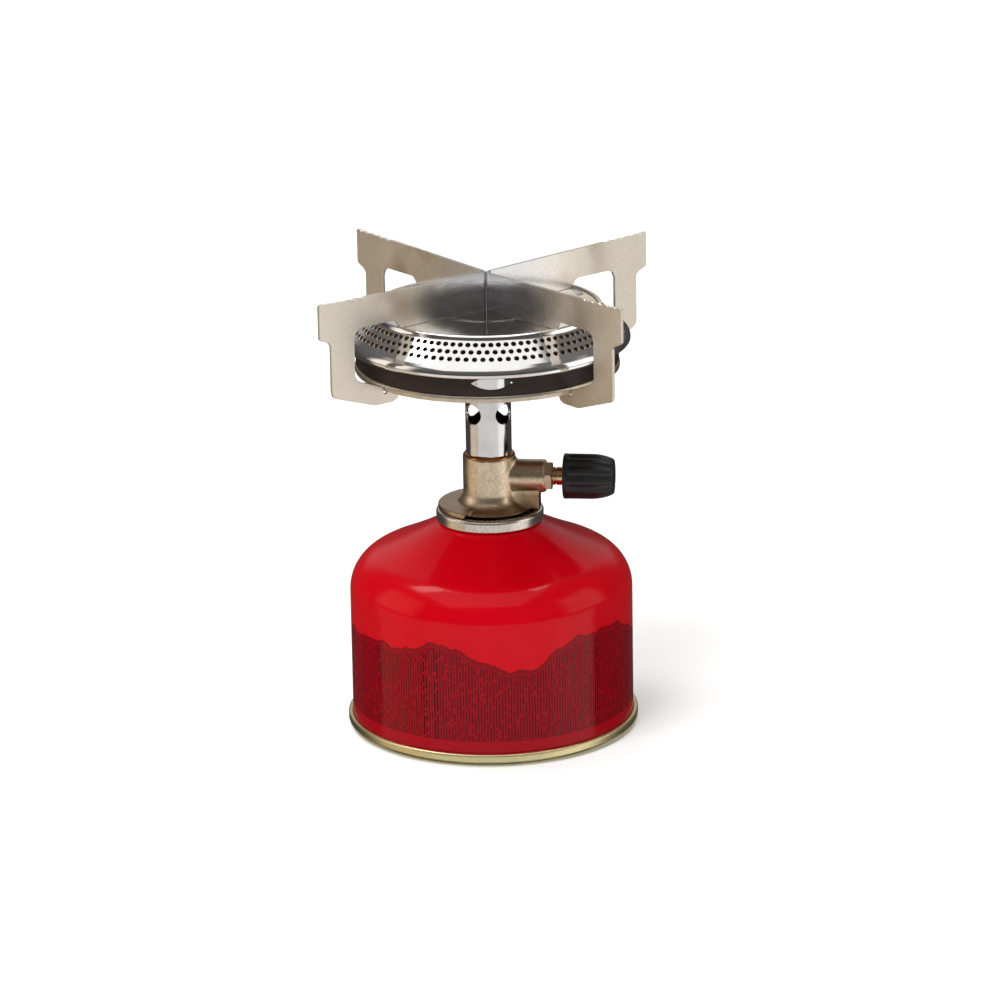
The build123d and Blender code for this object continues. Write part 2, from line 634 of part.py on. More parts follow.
def arm_outline():
    """Side view of one arm as a face in XZ: radius along X, height along Z."""
    slope = (ARM_TIP_Z - ARM_MIDDLE_Z) / ARM_TIP_R
    teeth = []
    for index in range(TEETH):
        inner = ARM_TIP_R - (TEETH - index) * TOOTH_PITCH
        teeth.append((inner, ARM_MIDDLE_Z + slope * inner))
        teeth.append((inner + 0.7, ARM_MIDDLE_Z + slope * inner - TOOTH_DEPTH))
    points = [(0, ARM_MIDDLE_Z)]
    points += teeth
    points += [
        (ARM_TIP_R - 1.8, ARM_TIP_Z),
        (ARM_TIP_R - 0.4, ARM_TIP_Z),
        (ARM_TIP_R, ARM_TIP_Z - 0.4),
        (ARM_TIP_R, TAB_Z + 0.5),
        (ARM_TIP_R - 0.6, TAB_Z - 0.1),
        (LEG_OUTER_R + 0.9, TAB_STEP_Z + 0.2),
        (LEG_OUTER_R, TAB_STEP_Z - 0.8),
        (LEG_OUTER_R, 116.9),
        (LEG_OUTER_R - 0.5, 115.6),
        (LEG_OUTER_R - 1.6, 114.8),
        (44.2, FOOT_Z + 0.15),
        (43.0, FOOT_Z),
        (37.0, FOOT_Z),
        (35.4, FOOT_Z + 0.7),
        (34.8, FOOT_Z + 1.9),
        (34.8, PLATE_TOP_Z - PLATE_SHEET - CONTACT_GAP),
        (PLATE_R - PLATE_SHEET - LIP_SLOT_GAP, PLATE_TOP_Z - PLATE_SHEET - CONTACT_GAP),
        (PLATE_R - PLATE_SHEET - LIP_SLOT_GAP, PLATE_LIP_Z - 0.8),
        (PLATE_R + LIP_SLOT_GAP, PLATE_LIP_Z - 0.8),
        (PLATE_R + LIP_SLOT_GAP, 115.0),
        (48.4, 118.05),
        (50.2, 119.0),
        (LEG_INNER_R, 120.6),
        (LEG_INNER_R, CUTOUT_TOP_Z - 2.8),
        (LEG_INNER_R - 0.8, CUTOUT_TOP_Z - 0.8),
        (LEG_INNER_R - 2.8, CUTOUT_TOP_Z),
        (CUTOUT_R + 1.0, CUTOUT_TOP_Z),
        (CUTOUT_R + 0.1, CUTOUT_TOP_Z - 0.5),
        (CUTOUT_R - 1.6, CAP_TOP_Z + CONTACT_GAP),
        (DISH_OUTER_R - DISH_EASE, CAP_TOP_Z + CONTACT_GAP),
        (DISH_INNER_R - DISH_EASE, CAP_TOP_Z - DISH_DEPTH + CONTACT_GAP),
        (0, CAP_TOP_Z - DISH_DEPTH + CONTACT_GAP),
    ]
    return make_face(outline(points))


def bent_strip():
    """Plan of one support: two arms at right angles joined by a rounded bend."""
    half = ARM_SHEET / 2
    corner = half + 0.03 - (math.sqrt(2) - 1) * BEND_R
    reach = ARM_TIP_R + 5
    far = reach / math.sqrt(2)
    outer_r = BEND_R + half
    inner_r = BEND_R - half
    middle = corner + BEND_R * math.sqrt(2)
    root = math.sqrt(0.5)

    def edge(radius):
        upper = (middle - radius * root, radius * root)
        lower = (middle - radius * root, -radius * root)
        upper_end = (upper[0] + far, upper[1] + far)
        lower_end = (lower[0] + far, lower[1] - far)
        return upper, lower, upper_end, lower_end

    o_up, o_low, o_up_end, o_low_end = edge(outer_r)
    i_up, i_low, i_up_end, i_low_end = edge(inner_r)
    lines = Line(o_up_end, o_up) + ThreePointArc(o_up, (middle - outer_r, 0), o_low) + Line(o_low, o_low_end)
    lines += Line(o_low_end, i_low_end) + Line(i_low_end, i_low)
    lines += ThreePointArc(i_low, (middle - inner_r, 0), i_up)
    lines += Line(i_up, i_up_end) + Line(i_up_end, o_up_end)
    return make_face(lines)


def pan_support():
    """One bent sheet with its two arms towards +X, at plus and minus 45 degrees."""
    strip = extrude(Pos(0, 0, FOOT_Z - 5) * bent_strip(), ARM_TIP_Z - FOOT_Z + 10)
    side = extrude(arm_outline(), 4, both=True)
    size = 4 * ARM_TIP_R
    front = Pos(0, size / 2, ARM_TIP_Z) * Box(size, size, size)
    back = Pos(0, -size / 2, ARM_TIP_Z) * Box(size, size, size)
    left = (Rot(0, 0, 45) * side) & front
    right = (Rot(0, 0, -45) * side) & back
    return strip & (left + right)


# ------------------------------------------------------------------- write

def write(name, shape):
    """Writes one node; its solids stay separate."""
    shape.label = name
    export_step(shape, os.path.join("parts", name + ".step"))


def main():
    os.makedirs("parts", exist_ok=True)
    support = pan_support()
    nodes = {
        "canister_shell": canister_shell(),
        "canister_base": canister_base(),
        "valve_cup": valve_cup(),
        "cup_gasket": cup_gasket(),
        "valve_housing": valve_housing(),
        "stem_gasket": stem_gasket(),
        "valve_stem": valve_stem(),
        "valve_spring": valve_spring(),
        "valve_body": valve_body(),
        "inlet_nipple": inlet_nipple(),
        "inlet_seal": inlet_seal(),
        "inlet_filter": inlet_filter(),
        "jet": jet(),
        "gland_nut": gland_nut(),
        "spindle_seal": spindle_seal(),
        "spindle": spindle(),
        "knob": knob(),
        "knob_screw": knob_screw(),
        "burner_tube": burner_tube(),
        "brazing_ring": brazing_ring(),
        "base_plate": base_plate(),
        "skirt": skirt(),
        "burner_pan": burner_pan(),
        "burner_cap": burner_cap(),
        "pan_support_right": support,
        "pan_support_left": Rot(0, 0, 180) * support,
    }
    for name, shape in nodes.items():
        write(name, shape)


main()
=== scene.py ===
"""Looks of the camping stove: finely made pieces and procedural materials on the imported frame."""

import math

import bmesh
import bpy
from mathutils import Matrix, Vector


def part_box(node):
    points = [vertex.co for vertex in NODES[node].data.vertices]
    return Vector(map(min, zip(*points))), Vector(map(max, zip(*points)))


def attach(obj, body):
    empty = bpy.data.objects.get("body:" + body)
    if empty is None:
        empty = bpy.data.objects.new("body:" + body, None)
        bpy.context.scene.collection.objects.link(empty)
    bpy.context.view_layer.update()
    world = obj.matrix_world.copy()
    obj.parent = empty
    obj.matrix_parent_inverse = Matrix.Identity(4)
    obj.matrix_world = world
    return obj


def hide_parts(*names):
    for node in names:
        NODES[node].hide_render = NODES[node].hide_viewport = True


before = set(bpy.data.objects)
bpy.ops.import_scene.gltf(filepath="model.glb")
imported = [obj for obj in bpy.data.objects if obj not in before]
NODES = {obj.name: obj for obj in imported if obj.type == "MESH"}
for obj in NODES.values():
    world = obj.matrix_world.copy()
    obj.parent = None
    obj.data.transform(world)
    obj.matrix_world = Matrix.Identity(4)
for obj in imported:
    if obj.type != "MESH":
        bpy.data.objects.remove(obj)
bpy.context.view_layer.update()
MM = 0.001
TURN = 2 * math.pi
# Less than this counts as nothing; vertices closer than WELD, in metres, are one vertex
TINY = 1e-6
WELD = 1e-6

# Sizes of the part's pieces that no CAD box gives, in millimetres
RIM_HEIGHT = 3.9
CAN_SHEET = 0.5
SHOULDER_Z = 43.2
SHOULDER_R = 12.9
SHOULDER_TURN = 67
NECK_R = 15.6
CUP_ROLL = 1.1
CUP_FLOOR_Z = 60.2
COLLAR_BORE_R = 4.6
THREAD_ROOT_R = 5.05
THREAD_DEPTH = 0.43
THREAD_PITCH = 25.4 / 28
SPINDLE_Z = 78.9
KNOB_NOSE_R = 5.7
KNOB_FLUTES = 12
TUBE_R = 7.05
TUBE_SHEET = 0.6
TUBE_SEAT_R = 7.09
AIR_HOLE_R = 3.1
AIR_HOLE_Z = 99.6
AIR_HOLE_TURN = -39
PLATE_SHEET = 0.9
PLATE_HOLE_R = 35.2
SKIRT_R = 40.1
SKIRT_SHEET = 0.7
WINDOW_HALF = 6.4
WINDOW_RISE = 2.0
WINDOW_Z = 119.6
WINDOW_TURN = -82
CAP_SHEET = 0.5
CAP_R = 43.7
CAP_TOP_Z = 132.1
CAP_RIM_Z = 122.65
CAP_ROLL_R = 3.3
CAP_ROLL_TURN = 40
BEAD_R = 34.6
SLOPE_TOP = (35.6, 131.5)
CREASE = (42.3, 125.5)
DISH_INNER_R = 12.9
DISH_OUTER_R = 17.3
DISH_DEPTH = 0.6
PORTS = 101
PORT_R = 0.75
PORT_ROWS = (0.15, 0.435, 0.72)
PRINT_COLUMNS = 300

# Fineness of the pieces: steps in a turn, and the grain of the cast skin in millimetres
CAN_STEPS = 192
COLLAR_STEPS = 72
BRAZE_STEPS = 144
SPINDLE_STEPS = 96
FLOOR_STEPS = 96
CAST_GRAIN = 0.26

# The camera: turn about the part's axis, pitch, yaw and roll in degrees, places in metres
# and the lens in millimetres
CAMERA_TURN = 6.27
CAMERA_AWAY = 1.4382
CAMERA_HIGH = 0.5275
CAMERA_PITCH = 17.62
CAMERA_YAW = 0.125
CAMERA_ROLL = -0.97
CAMERA_LENS = 176.755


def top(node):
    """Highest corner of a CAD node, in millimetres."""
    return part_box(node)[1] / MM


def low(node):
    """Lowest corner of a CAD node, in millimetres."""
    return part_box(node)[0] / MM


# ------------------------------------------------------------- line helpers

def arc(middle, radius, first, last, parts):
    """Points on an arc, angles in degrees."""
    points = []
    for index in range(parts + 1):
        angle = math.radians(first + (last - first) * index / parts)
        points.append((middle[0] + radius * math.cos(angle), middle[1] + radius * math.sin(angle)))
    return points


def tangent_arc(start, direction, end, parts):
    """Points on the arc that leaves start in a direction and reaches end."""
    p = Vector(start)
    q = Vector(end)
    side = Vector((-direction[1], direction[0])).normalized()
    chord = q - p
    radius = chord.length_squared / (2 * chord.dot(side))
    middle = p + side * radius
    first = math.atan2(p.y - middle.y, p.x - middle.x)
    last = math.atan2(q.y - middle.y, q.x - middle.x)
    sweep = (last - first + math.pi) % TURN - math.pi
    points = []
    for index in range(parts + 1):
        angle = first + sweep * index / parts
        points.append((middle.x + abs(radius) * math.cos(angle), middle.y + abs(radius) * math.sin(angle)))
    return points


def rounded(corners, parts=4, closed=True):
    """Rounds the corners of a line; each corner is (x, y, radius)."""
    count = len(corners)
    points = []
    for index, (x, y, radius) in enumerate(corners):
        ends = not closed and index in (0, count - 1)
        if radius <= 0 or ends:
            points.append((x, y))
            continue
        here = Vector((x, y))
        back = Vector(corners[index - 1][:2]) - here
        ahead = Vector(corners[(index + 1) % count][:2]) - here
        half = back.angle(ahead) / 2
        reach = min(radius / math.tan(half), 0.49 * back.length, 0.49 * ahead.length)
        fitted = reach * math.tan(half)
        a = here + back.normalized() * reach
        b = here + ahead.normalized() * reach
        middle = here + (back.normalized() + ahead.normalized()).normalized() * (fitted / math.sin(half))
        for step in range(parts + 1):
            share = step / parts
            spoke = (a - middle).slerp(b - middle, share, a - middle).normalized()
            points.append(tuple(middle + spoke * fitted))
    return points


# ------------------------------------------------------------- mesh helpers

def lathe(bm, line, steps, closed=True, axis="Z", centre=0.0):
    """Turns a line of (radius, height) millimetres about Z, or about the X line at a height."""
    rings = []
    for radius, height in line:
        if radius < TINY:
            spots = [0.0]
        else:
            spots = [TURN * k / steps for k in range(steps)]
        ring = []
        for angle in spots:
            a = radius * math.cos(angle)
            b = radius * math.sin(angle)
            if axis == "Z":
                ring.append(bm.verts.new((a * MM, b * MM, height * MM)))
            else:
                ring.append(bm.verts.new((height * MM, a * MM, (centre + b) * MM)))
        rings.append(ring)
    pairs = list(zip(rings, rings[1:]))
    if closed:
        pairs.append((rings[-1], rings[0]))
    for first, second in pairs:
        if len(first) == 1 and len(second) == 1:
            continue
        for k in range(steps):
            following = (k + 1) % steps
            if len(first) == 1:
                bm.faces.new((first[0], second[k], second[following]))
            elif len(second) == 1:
                bm.faces.new((first[following], first[k], second[0]))
            else:
                bm.faces.new((first[k], first[following], second[following], second[k]))


def vert_on_turn(bm, radius, angle, height):
    """A vertex at a radius, an angle and a height, in millimetres."""
    return bm.verts.new((radius * math.cos(angle) * MM, radius * math.sin(angle) * MM, height * MM))


def skin(bm, rings):
    """Faces between each ring and the next, all with the same count of vertices."""
    for first, second in zip(rings, rings[1:]):
        for k in range(len(first)):
            following = (k + 1) % len(first)
            bm.faces.new((first[k], first[following], second[following], second[k]))


def round_wall(outer):
    """The surface of a round wall: u is the turn, v the height and depth goes inwards."""
    def surface(u, v, depth):
        reach = outer - depth
        return (reach * math.cos(u) * MM, reach * math.sin(u) * MM, v * MM)

    return surface


def square_and_round(steps_per_side):
    """Matching places on a square from -1 to 1 and on a circle of radius 1."""
    places = []
    for k in range(4 * steps_per_side):
        side = k // steps_per_side
        f = (k % steps_per_side) / steps_per_side * 2 - 1
        corner = ((f, -1), (1, f), (-f, 1), (-1, -f))[side]
        angle = math.radians(225 + 90 * k / steps_per_side)
        places.append((corner, (math.cos(angle), math.sin(angle))))
    return places


def pierced_cell(bm, surface, cell, hole, sheet, steps_per_side, rings=1, chamfer=0.1):
    """One patch of a turned sheet with a hole through it.

    surface(u, v, depth) gives a point; cell is (u0, u1, v0, v1); hole(spot, growth) gives the
    u and v of a spot on the unit circle, for a hole grown by so many millimetres.
    """
    u0, u1, v0, v1 = cell
    layers = []
    places = square_and_round(steps_per_side)

    def layer(depth, share, growth):
        ring = []
        for (s, t), spot in places:
            edge_u = u0 + (u1 - u0) * (s + 1) / 2
            edge_v = v0 + (v1 - v0) * (t + 1) / 2
            hole_u, hole_v = hole(spot, growth)
            u = edge_u + (hole_u - edge_u) * share
            v = edge_v + (hole_v - edge_v) * share
            ring.append(bm.verts.new(surface(u, v, depth)))
        layers.append(ring)

    for index in range(rings + 1):
        layer(0.0, index / rings, chamfer)
    layer(chamfer * 0.8, 1.0, 0.0)
    layer(sheet, 1.0, 0.0)
    for index in range(rings, -1, -1):
        if index < rings:
            layer(sheet, index / rings, 0.0)
    skin(bm, layers)


def piece(name, bm, body, material, replaced, crease=32, weld=True):
    """Makes the object of a finished mesh and ties it to the frame."""
    if weld:
        bmesh.ops.remove_doubles(bm, verts=bm.verts, dist=WELD)
    bmesh.ops.recalc_face_normals(bm, faces=bm.faces)
    mesh = bpy.data.meshes.new(name)
    bm.to_mesh(mesh)
    bm.free()
    mesh.shade_smooth()
    mesh.set_sharp_from_angle(angle=math.radians(crease))
    mesh.materials.append(material)
    made = bpy.data.objects.new(name, mesh)
    bpy.context.scene.collection.objects.link(made)
    weighted = made.modifiers.new("even_normals", "WEIGHTED_NORMAL")
    weighted.keep_sharp = True
    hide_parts(*replaced)
    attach(made, body)
    return made


def softened(node, name, width, body, material, parts=2, crease=28):
    """A CAD node's shape with its sharp edges broken by a small round."""
    bm = bmesh.new()
    bm.from_mesh(NODES[node].data)
    bmesh.ops.remove_doubles(bm, verts=bm.verts, dist=WELD)
    bmesh.ops.dissolve_limit(bm, angle_limit=math.radians(0.6), verts=bm.verts, edges=bm.edges)
    sharp = []
    for edge in bm.edges:
        if edge.is_manifold and edge.calc_face_angle() > math.radians(crease):
            sharp.append(edge)
    bmesh.ops.bevel(
        bm, geom=sharp, offset=width * MM, offset_type="OFFSET", segments=parts,
        profile=0.5, affect="EDGES", clamp_overlap=True,
    )
    return piece(name, bm, body, material, [node], crease=40)


# --------------------------------------------------------- material helpers

class Nodes:
    """A node tree with short ways to add nodes."""

    def __init__(self, tree):
        self.tree = tree

    def add(self, kind, values=(), **settings):
        node = self.tree.nodes.new(kind)
        for key, value in settings.items():
            setattr(node, key, value)
        for key, value in dict(values).items():
            if isinstance(value, bpy.types.NodeSocket):
                self.tree.links.new(value, node.inputs[key])
            else:
                node.inputs[key].default_value = value
        return node

    def math(self, operation, a, b=0.0, c=0.0):
        return self.add("ShaderNodeMath", {0: a, 1: b, 2: c}, operation=operation).outputs["Value"]

    def span(self, value, low_in, high_in, low_out=0.0, high_out=1.0, smooth=False):
        values = {
            "Value": value, "From Min": low_in, "From Max": high_in, "To Min": low_out, "To Max": high_out,
        }
        kind = "SMOOTHSTEP" if smooth else "LINEAR"
        return self.add("ShaderNodeMapRange", values, interpolation_type=kind).outputs["Result"]

    def mix(self, share, a, b):
        node = self.add("ShaderNodeMix", data_type="RGBA")
        for index, value in ((0, share), (6, a), (7, b)):
            if isinstance(value, bpy.types.NodeSocket):
                self.tree.links.new(value, node.inputs[index])
            else:
                node.inputs[index].default_value = (*value, 1.0)
        return node.outputs[2]


class Shader(Nodes):
    """A material whose patterns lie in the part's own coordinates."""

    def __init__(self, name, **sockets):
        self.material = bpy.data.materials.new(name)
        self.material.use_nodes = True
        super().__init__(self.material.node_tree)
        self.surface = self.tree.nodes["Principled BSDF"]
        for key, value in sockets.items():
            self.surface.inputs[key.replace("_", " ")].default_value = value
        self.place = self.add("ShaderNodeTexCoord").outputs["Object"]

    def to(self, socket, value):
        self.tree.links.new(value, self.surface.inputs[socket])

    def scaled(self, x, y, z):
        node = self.add("ShaderNodeMapping", {"Vector": self.place, "Scale": (x, y, z)})
        return node.outputs["Vector"]

    def noise(self, scale, detail=3.0, rough=0.55, where=None):
        values = {"Scale": scale, "Detail": detail, "Roughness": rough, "Vector": where or self.place}
        return self.add("ShaderNodeTexNoise", values).outputs["Fac"]

    def bump(self, height, depth_mm, under=None):
        values = {"Height": height, "Distance": depth_mm * MM, "Strength": 1.0}
        if under is not None:
            values["Normal"] = under
        return self.add("ShaderNodeBump", values).outputs["Normal"]

    def chance(self, x, y, z):
        """A random value for each whole-numbered place."""
        place = self.add("ShaderNodeCombineXYZ", {0: x, 1: y, 2: z}).outputs[0]
        return self.add("ShaderNodeTexWhiteNoise", {"Vector": place}, noise_dimensions="3D").outputs["Value"]

    def xyz(self):
        node = self.add("ShaderNodeSeparateXYZ", {"Vector": self.place})
        return node.outputs["X"], node.outputs["Y"], node.outputs["Z"]

    def radius(self):
        x, y, _ = self.xyz()
        return self.math("SQRT", self.math("ADD", self.math("MULTIPLY", x, x), self.math("MULTIPLY", y, y)))


def metal(name, colour, roughness, grain=900.0, grain_depth=0.004, blotch=0.06, rough_span=0.08,
          tint=None, scratch=(1, 1, 1)):
    """A plated or bare metal with fine grain, faint blotches and uneven polish."""
    s = Shader(name, Metallic=1.0)
    fine = s.noise(grain, 4.0, 0.6, s.scaled(*scratch))
    cloud = s.noise(70.0, 3.0, 0.6)
    darker = tuple(c * (1 - 2.2 * blotch) for c in colour)
    base = s.mix(s.span(cloud, 0.3, 0.7), darker, colour)
    if tint is not None:
        base = s.mix(s.span(s.noise(38.0, 2.0), 0.5, 0.72, 0.0, 0.6), base, tint)
    s.to("Base Color", s.mix(s.span(fine, 0.35, 0.65, 0.0, 0.16), base, (0.05, 0.045, 0.04)))
    uneven = s.math("ADD", fine, cloud)
    s.to("Roughness", s.span(uneven, 0.7, 1.3, roughness - rough_span, roughness + rough_span))
    s.to("Normal", s.bump(fine, grain_depth))
    return s.material


def can_paint():
    """Gloss red lacquer with a darker printed skyline and rows of plain strokes below it."""
    s = Shader(
        "can_paint", IOR=1.5, Specular_IOR_Level=0.06,
        Coat_Weight=0.22, Coat_Roughness=0.03, Coat_IOR=1.5,
    )
    x, y, z = s.xyz()
    turn = s.math("ARCTAN2", y, x)
    height = s.math("DIVIDE", z, MM)
    skyline = s.span(s.noise(420.0, 3.0), 0.3, 0.7, 34.4, 35.4)
    ridges = ((4, -1.94, 2.2), (5, -1.99, 2.7), (8, 2.87, 1.1), (13, 0.9, 0.5), (29, 0.2, 0.35))
    for count, phase, size in ridges:
        wave = s.math("MULTIPLY", s.math("SINE", s.math("MULTIPLY_ADD", turn, count, phase)), size)
        skyline = s.math("ADD", skyline, wave)
    depth = s.math("SUBTRACT", skyline, height)
    below = s.span(depth, -0.05, 0.15)
    deep = s.span(depth, 0.8, 1.5)
    strip = s.math("MULTIPLY", turn, PRINT_COLUMNS / TURN)
    number = s.math("FLOOR", strip)
    across = s.math("FRACT", strip)
    level = s.math("FLOOR", s.math("MULTIPLY", height, 1.15))
    chance = s.chance(number, level, 0.0)
    pair = s.math("FLOOR", s.math("DIVIDE", number, 2.0))
    bold = s.chance(pair, 7.0, 3.0)
    bar = s.math("LESS_THAN", across, 0.5)
    dash = s.math("GREATER_THAN", chance, 0.16)
    heavy = s.span(s.math("GREATER_THAN", bold, 0.93), 0.0, 1.0, 0.62, 0.97)
    rows = s.math("MULTIPLY", s.span(height, 7.6, 7.8), s.span(depth, 1.6, 1.9))
    stroke = s.math("MULTIPLY", s.math("MULTIPLY", bar, dash), s.math("MULTIPLY", heavy, rows))
    red = s.mix(s.span(s.noise(30.0), 0.3, 0.7), (0.43, 0.0, 0.004), (0.48, 0.0005, 0.006))
    edge = s.mix(below, red, (0.17, 0.0, 0.003))
    strip_red = s.mix(s.span(height, 7.4, 7.9), (0.29, 0.0, 0.006), (0.225, 0.0, 0.005))
    printed = s.mix(deep, edge, strip_red)
    s.to("Base Color", s.mix(stroke, printed, (0.02, 0.0, 0.001)))
    s.to("Roughness", s.span(s.noise(160.0, 2.0), 0.3, 0.7, 0.16, 0.26))
    ripple = s.bump(s.noise(260.0, 1.0), 0.006)
    s.to("Normal", s.bump(s.noise(2600.0, 2.0), 0.0012, under=ripple))
    return s.material


def support_metal():
    """Satin nickel sheet: polished near the middle, with straw and brown heat tints."""
    s = Shader("support_nickel", Metallic=1.0)
    fine = s.noise(1500.0, 4.0, 0.65)
    cloud = s.noise(55.0, 3.0, 0.6)
    base = s.mix(s.span(cloud, 0.3, 0.7), (0.80, 0.73, 0.635), (0.90, 0.84, 0.755))
    away = s.radius()
    near = s.span(away, 0.020, 0.034, 0.0, 1.0, True)
    far = s.span(away, 0.036, 0.052, 1.0, 0.0, True)
    hot = s.math("MULTIPLY", near, far)
    patches = s.math("MULTIPLY", hot, s.span(s.noise(46.0, 2.0), 0.47, 0.66))
    base = s.mix(s.math("MULTIPLY", patches, 0.8), base, (0.36, 0.24, 0.13))
    grey = s.span(away, 0.012, 0.034, 1.0, 0.0, True)
    base = s.mix(grey, base, (0.72, 0.72, 0.73))
    s.to("Base Color", s.mix(s.span(fine, 0.4, 0.7, 0.0, 0.14), base, (0.2, 0.17, 0.14)))
    satin = s.span(away, 0.016, 0.044, 0.15, 0.42, True)
    s.to("Roughness", s.math("ADD", satin, s.span(cloud, 0.3, 0.7, -0.04, 0.04)))
    s.to("Normal", s.bump(fine, 0.0016))
    return s.material


def mirror_chrome(name, roughness):
    """Bright chrome with faint polishing haze."""
    s = Shader(name, Metallic=1.0)
    haze = s.noise(120.0, 4.0, 0.6)
    specks = s.noise(2400.0, 2.0, 0.5)
    s.to("Base Color", s.mix(s.span(haze, 0.35, 0.7), (0.76, 0.76, 0.77), (0.66, 0.65, 0.64)))
    s.to("Roughness", s.span(haze, 0.3, 0.75, roughness * 0.6, roughness * 1.6))
    s.to("Normal", s.bump(specks, 0.0007))
    return s.material


def cap_metal():
    """Mirror chrome of the burner cap."""
    s = Shader("cap_chrome", Metallic=1.0)
    haze = s.noise(90.0, 4.0, 0.6)
    specks = s.noise(1800.0, 2.0, 0.5)
    s.to("Base Color", s.mix(s.span(haze, 0.35, 0.7), (0.86, 0.86, 0.86), (0.74, 0.73, 0.71)))
    s.to("Roughness", s.span(haze, 0.3, 0.75, 0.05, 0.13))
    s.to("Normal", s.bump(specks, 0.0008))
    return s.material


def port_metal():
    """Heat-browned steel inside the burner ports."""
    s = Shader("port_brown", Metallic=1.0)
    cloud = s.noise(500.0, 3.0)
    s.to("Base Color", s.mix(s.span(cloud, 0.3, 0.7), (0.34, 0.19, 0.10), (0.60, 0.43, 0.27)))
    s.to("Roughness", s.span(cloud, 0.3, 0.7, 0.25, 0.4))
    return s.material


def skinned(name, clouds, dark, pale, rough, grain, depth, **sockets):
    """Enamel, plastic or rubber: faint clouds of colour and gloss under a fine skin."""
    s = Shader(name, **sockets)
    cloud = s.noise(*clouds)
    s.to("Base Color", s.mix(s.span(cloud, 0.3, 0.7), dark, pale))
    s.to("Roughness", s.span(cloud, 0.3, 0.7, *rough))
    s.to("Normal", s.bump(s.noise(*grain), depth))
    return s.material


def cast_metal():
    """Satin-nickelled cast brass with a sandy skin."""
    s = Shader("cast_nickel", Metallic=1.0)
    sand = s.noise(1300.0, 4.0, 0.6)
    lumps = s.noise(240.0, 3.0, 0.5)
    cloud = s.noise(60.0, 3.0)
    base = s.mix(s.span(cloud, 0.3, 0.7), (0.74, 0.60, 0.42), (0.84, 0.71, 0.53))
    x, _, z = s.xyz()
    # painted shade: the cast colour turns dark brown under the spindle boss and on the hand flange, where
    # shade falls, its brown standing for the red can reflected there
    web_shade = s.math("MULTIPLY", s.span(x, 0.0075, 0.0105), s.span(z, 0.0735, 0.0755, 0.8, 0.0))
    # painted shade on the hand flange and the foot of the barrel
    foot = s.span(z, 0.0707, 0.0727, 0.55, 0.0)
    base = s.mix(s.math("MAXIMUM", web_shade, foot), base, (0.27, 0.15, 0.07))
    s.to("Base Color", s.mix(s.span(sand, 0.4, 0.7, 0.0, 0.3), base, (0.30, 0.20, 0.11)))
    s.to("Roughness", s.span(s.math("ADD", sand, lumps), 0.7, 1.3, 0.26, 0.44))
    coarse = s.bump(lumps, 0.05)
    s.to("Normal", s.bump(sand, 0.02, under=coarse))
    return s.material


PAINT = can_paint()
SEAM = metal("seam_gold", (0.86, 0.76, 0.42), 0.36, 700.0, 0.004, 0.05, scratch=(1, 1, 6))
CUP = metal("cup_steel", (0.84, 0.79, 0.71), 0.26, 900.0, 0.005, 0.08)
CAST = cast_metal()
NUT = metal("nut_nickel", (0.90, 0.82, 0.64), 0.44, 1200.0, 0.006, 0.06)
BRASS = metal("brass", (0.80, 0.60, 0.32), 0.2, 1500.0, 0.003, 0.08, scratch=(9, 1, 1))
BRAZE = metal("braze_copper", (0.60, 0.20, 0.08), 0.2, 500.0, 0.02, 0.1, tint=(0.86, 0.66, 0.26))
TUBE = mirror_chrome("tube_chrome", 0.14)
CAP = cap_metal()
PORT = port_metal()
PLATE = metal("plate_nickel", (0.88, 0.77, 0.63), 0.40, 700.0, 0.012, 0.1)
SUPPORT = support_metal()
SKIRT = skinned(
    "skirt_dark", (60.0, 3.0), (0.016, 0.009, 0.007), (0.026, 0.016, 0.012),
    (0.32, 0.45), (900.0, 3.0), 0.003,
    IOR=1.5, Coat_Weight=0.12, Coat_Roughness=0.25, Specular_IOR_Level=0.18,
)
PAN = metal("pan_steel", (0.42, 0.36, 0.30), 0.36, 900.0, 0.004, 0.1, tint=(0.3, 0.2, 0.12))
KNOB = skinned(
    "knob_black", (160.0, 2.0), (0.006, 0.006, 0.0065), (0.012, 0.012, 0.013),
    (0.36, 0.5), (2600.0, 3.0), 0.006, IOR=1.47,
)
SCREW = metal("screw_steel", (0.6, 0.6, 0.58), 0.28, 1400.0, 0.003)
RUBBER = skinned(
    "seal_rubber", (300.0, 3.0), (0.012, 0.012, 0.012), (0.028, 0.027, 0.026),
    (0.6, 0.8), (3000.0, 2.0), 0.005, IOR=1.5,
)
PLASTIC = skinned(
    "housing_plastic", (200.0, 3.0), (0.62, 0.60, 0.52), (0.72, 0.70, 0.63),
    (0.35, 0.5), (2500.0, 2.0), 0.003, IOR=1.48, Subsurface_Weight=0.05,
)
SPRING = metal("spring_steel", (0.5, 0.5, 0.5), 0.22, 1600.0, 0.002)


# -------------------------------------------------------------------- cartridge

def can_profile(inset):
    """The can's line from seam to neck, in millimetres."""
    wall_r = top("canister_shell").x - inset
    arc_r = SHOULDER_R - inset
    shoulder = arc((wall_r - arc_r, SHOULDER_Z), arc_r, 0, SHOULDER_TURN, 28)
    start = shoulder[-1]
    slope = (-math.sin(math.radians(SHOULDER_TURN)), math.cos(math.radians(SHOULDER_TURN)))
    neck = (NECK_R, top("canister_shell").z - inset)
    wall = [(wall_r, 1.0), (wall_r, 12.0), (wall_r, 28.0)]
    return wall + shoulder + tangent_arc(start, slope, neck, 24)[1:]


def make_can():
    """The drawn can, closed at the bottom by the seam."""
    bm = bmesh.new()
    outer = can_profile(0.0)
    inner = can_profile(CAN_SHEET)
    lathe(bm, outer + inner[::-1], CAN_STEPS)
    piece("can", bm, "cartridge", PAINT, ["canister_shell"])


